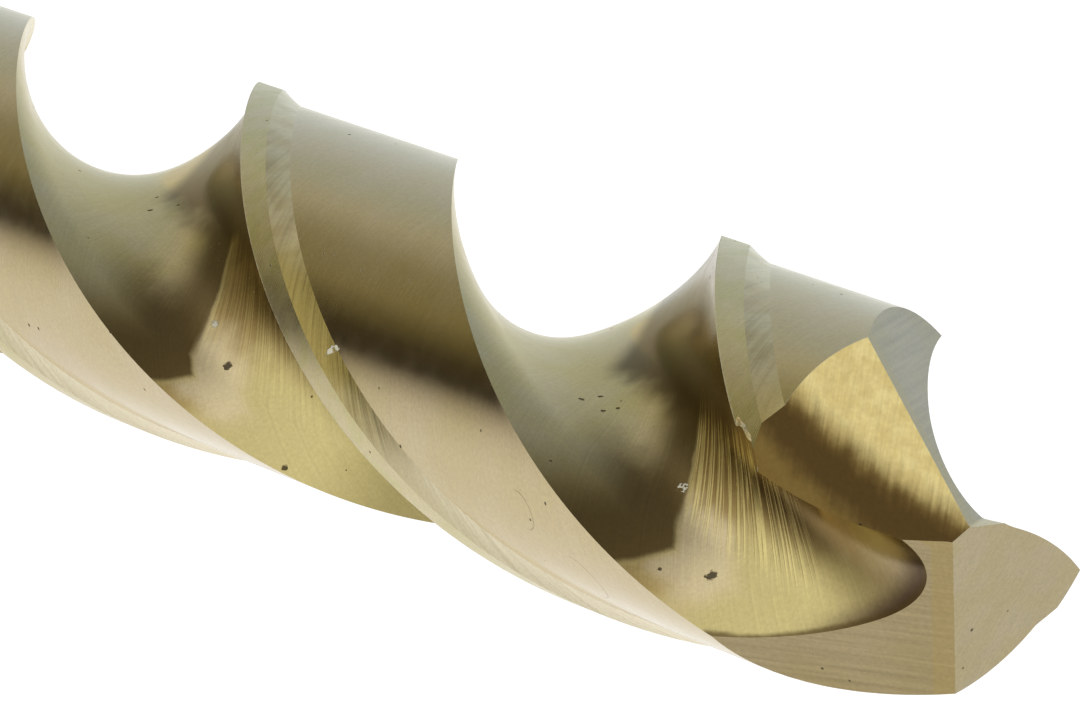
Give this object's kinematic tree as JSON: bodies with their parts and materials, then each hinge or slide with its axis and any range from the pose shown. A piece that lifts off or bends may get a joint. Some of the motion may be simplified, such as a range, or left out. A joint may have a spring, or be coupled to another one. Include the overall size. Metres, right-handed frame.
{
  "type": "twist drill bit",
  "caption": "Straight-shank twist drill with right-hand helical flutes, narrow margins and a ground split point, in straw-tinted tool steel.",
  "frame": {"origin": "centre of the shank's flat end face", "axes": "+Z along the drill's axis from the shank to the tip; +X points to the outer corner of the first lip"},
  "size_m": [0.01, 0.01, 0.133],
  "materials": {
    "tool_steel": "ground high-speed steel with a straw and bronze temper tint"
  },
  "bodies": {
    "root": {"twist_drill": "tool_steel"}
  },
  "joints": []
}
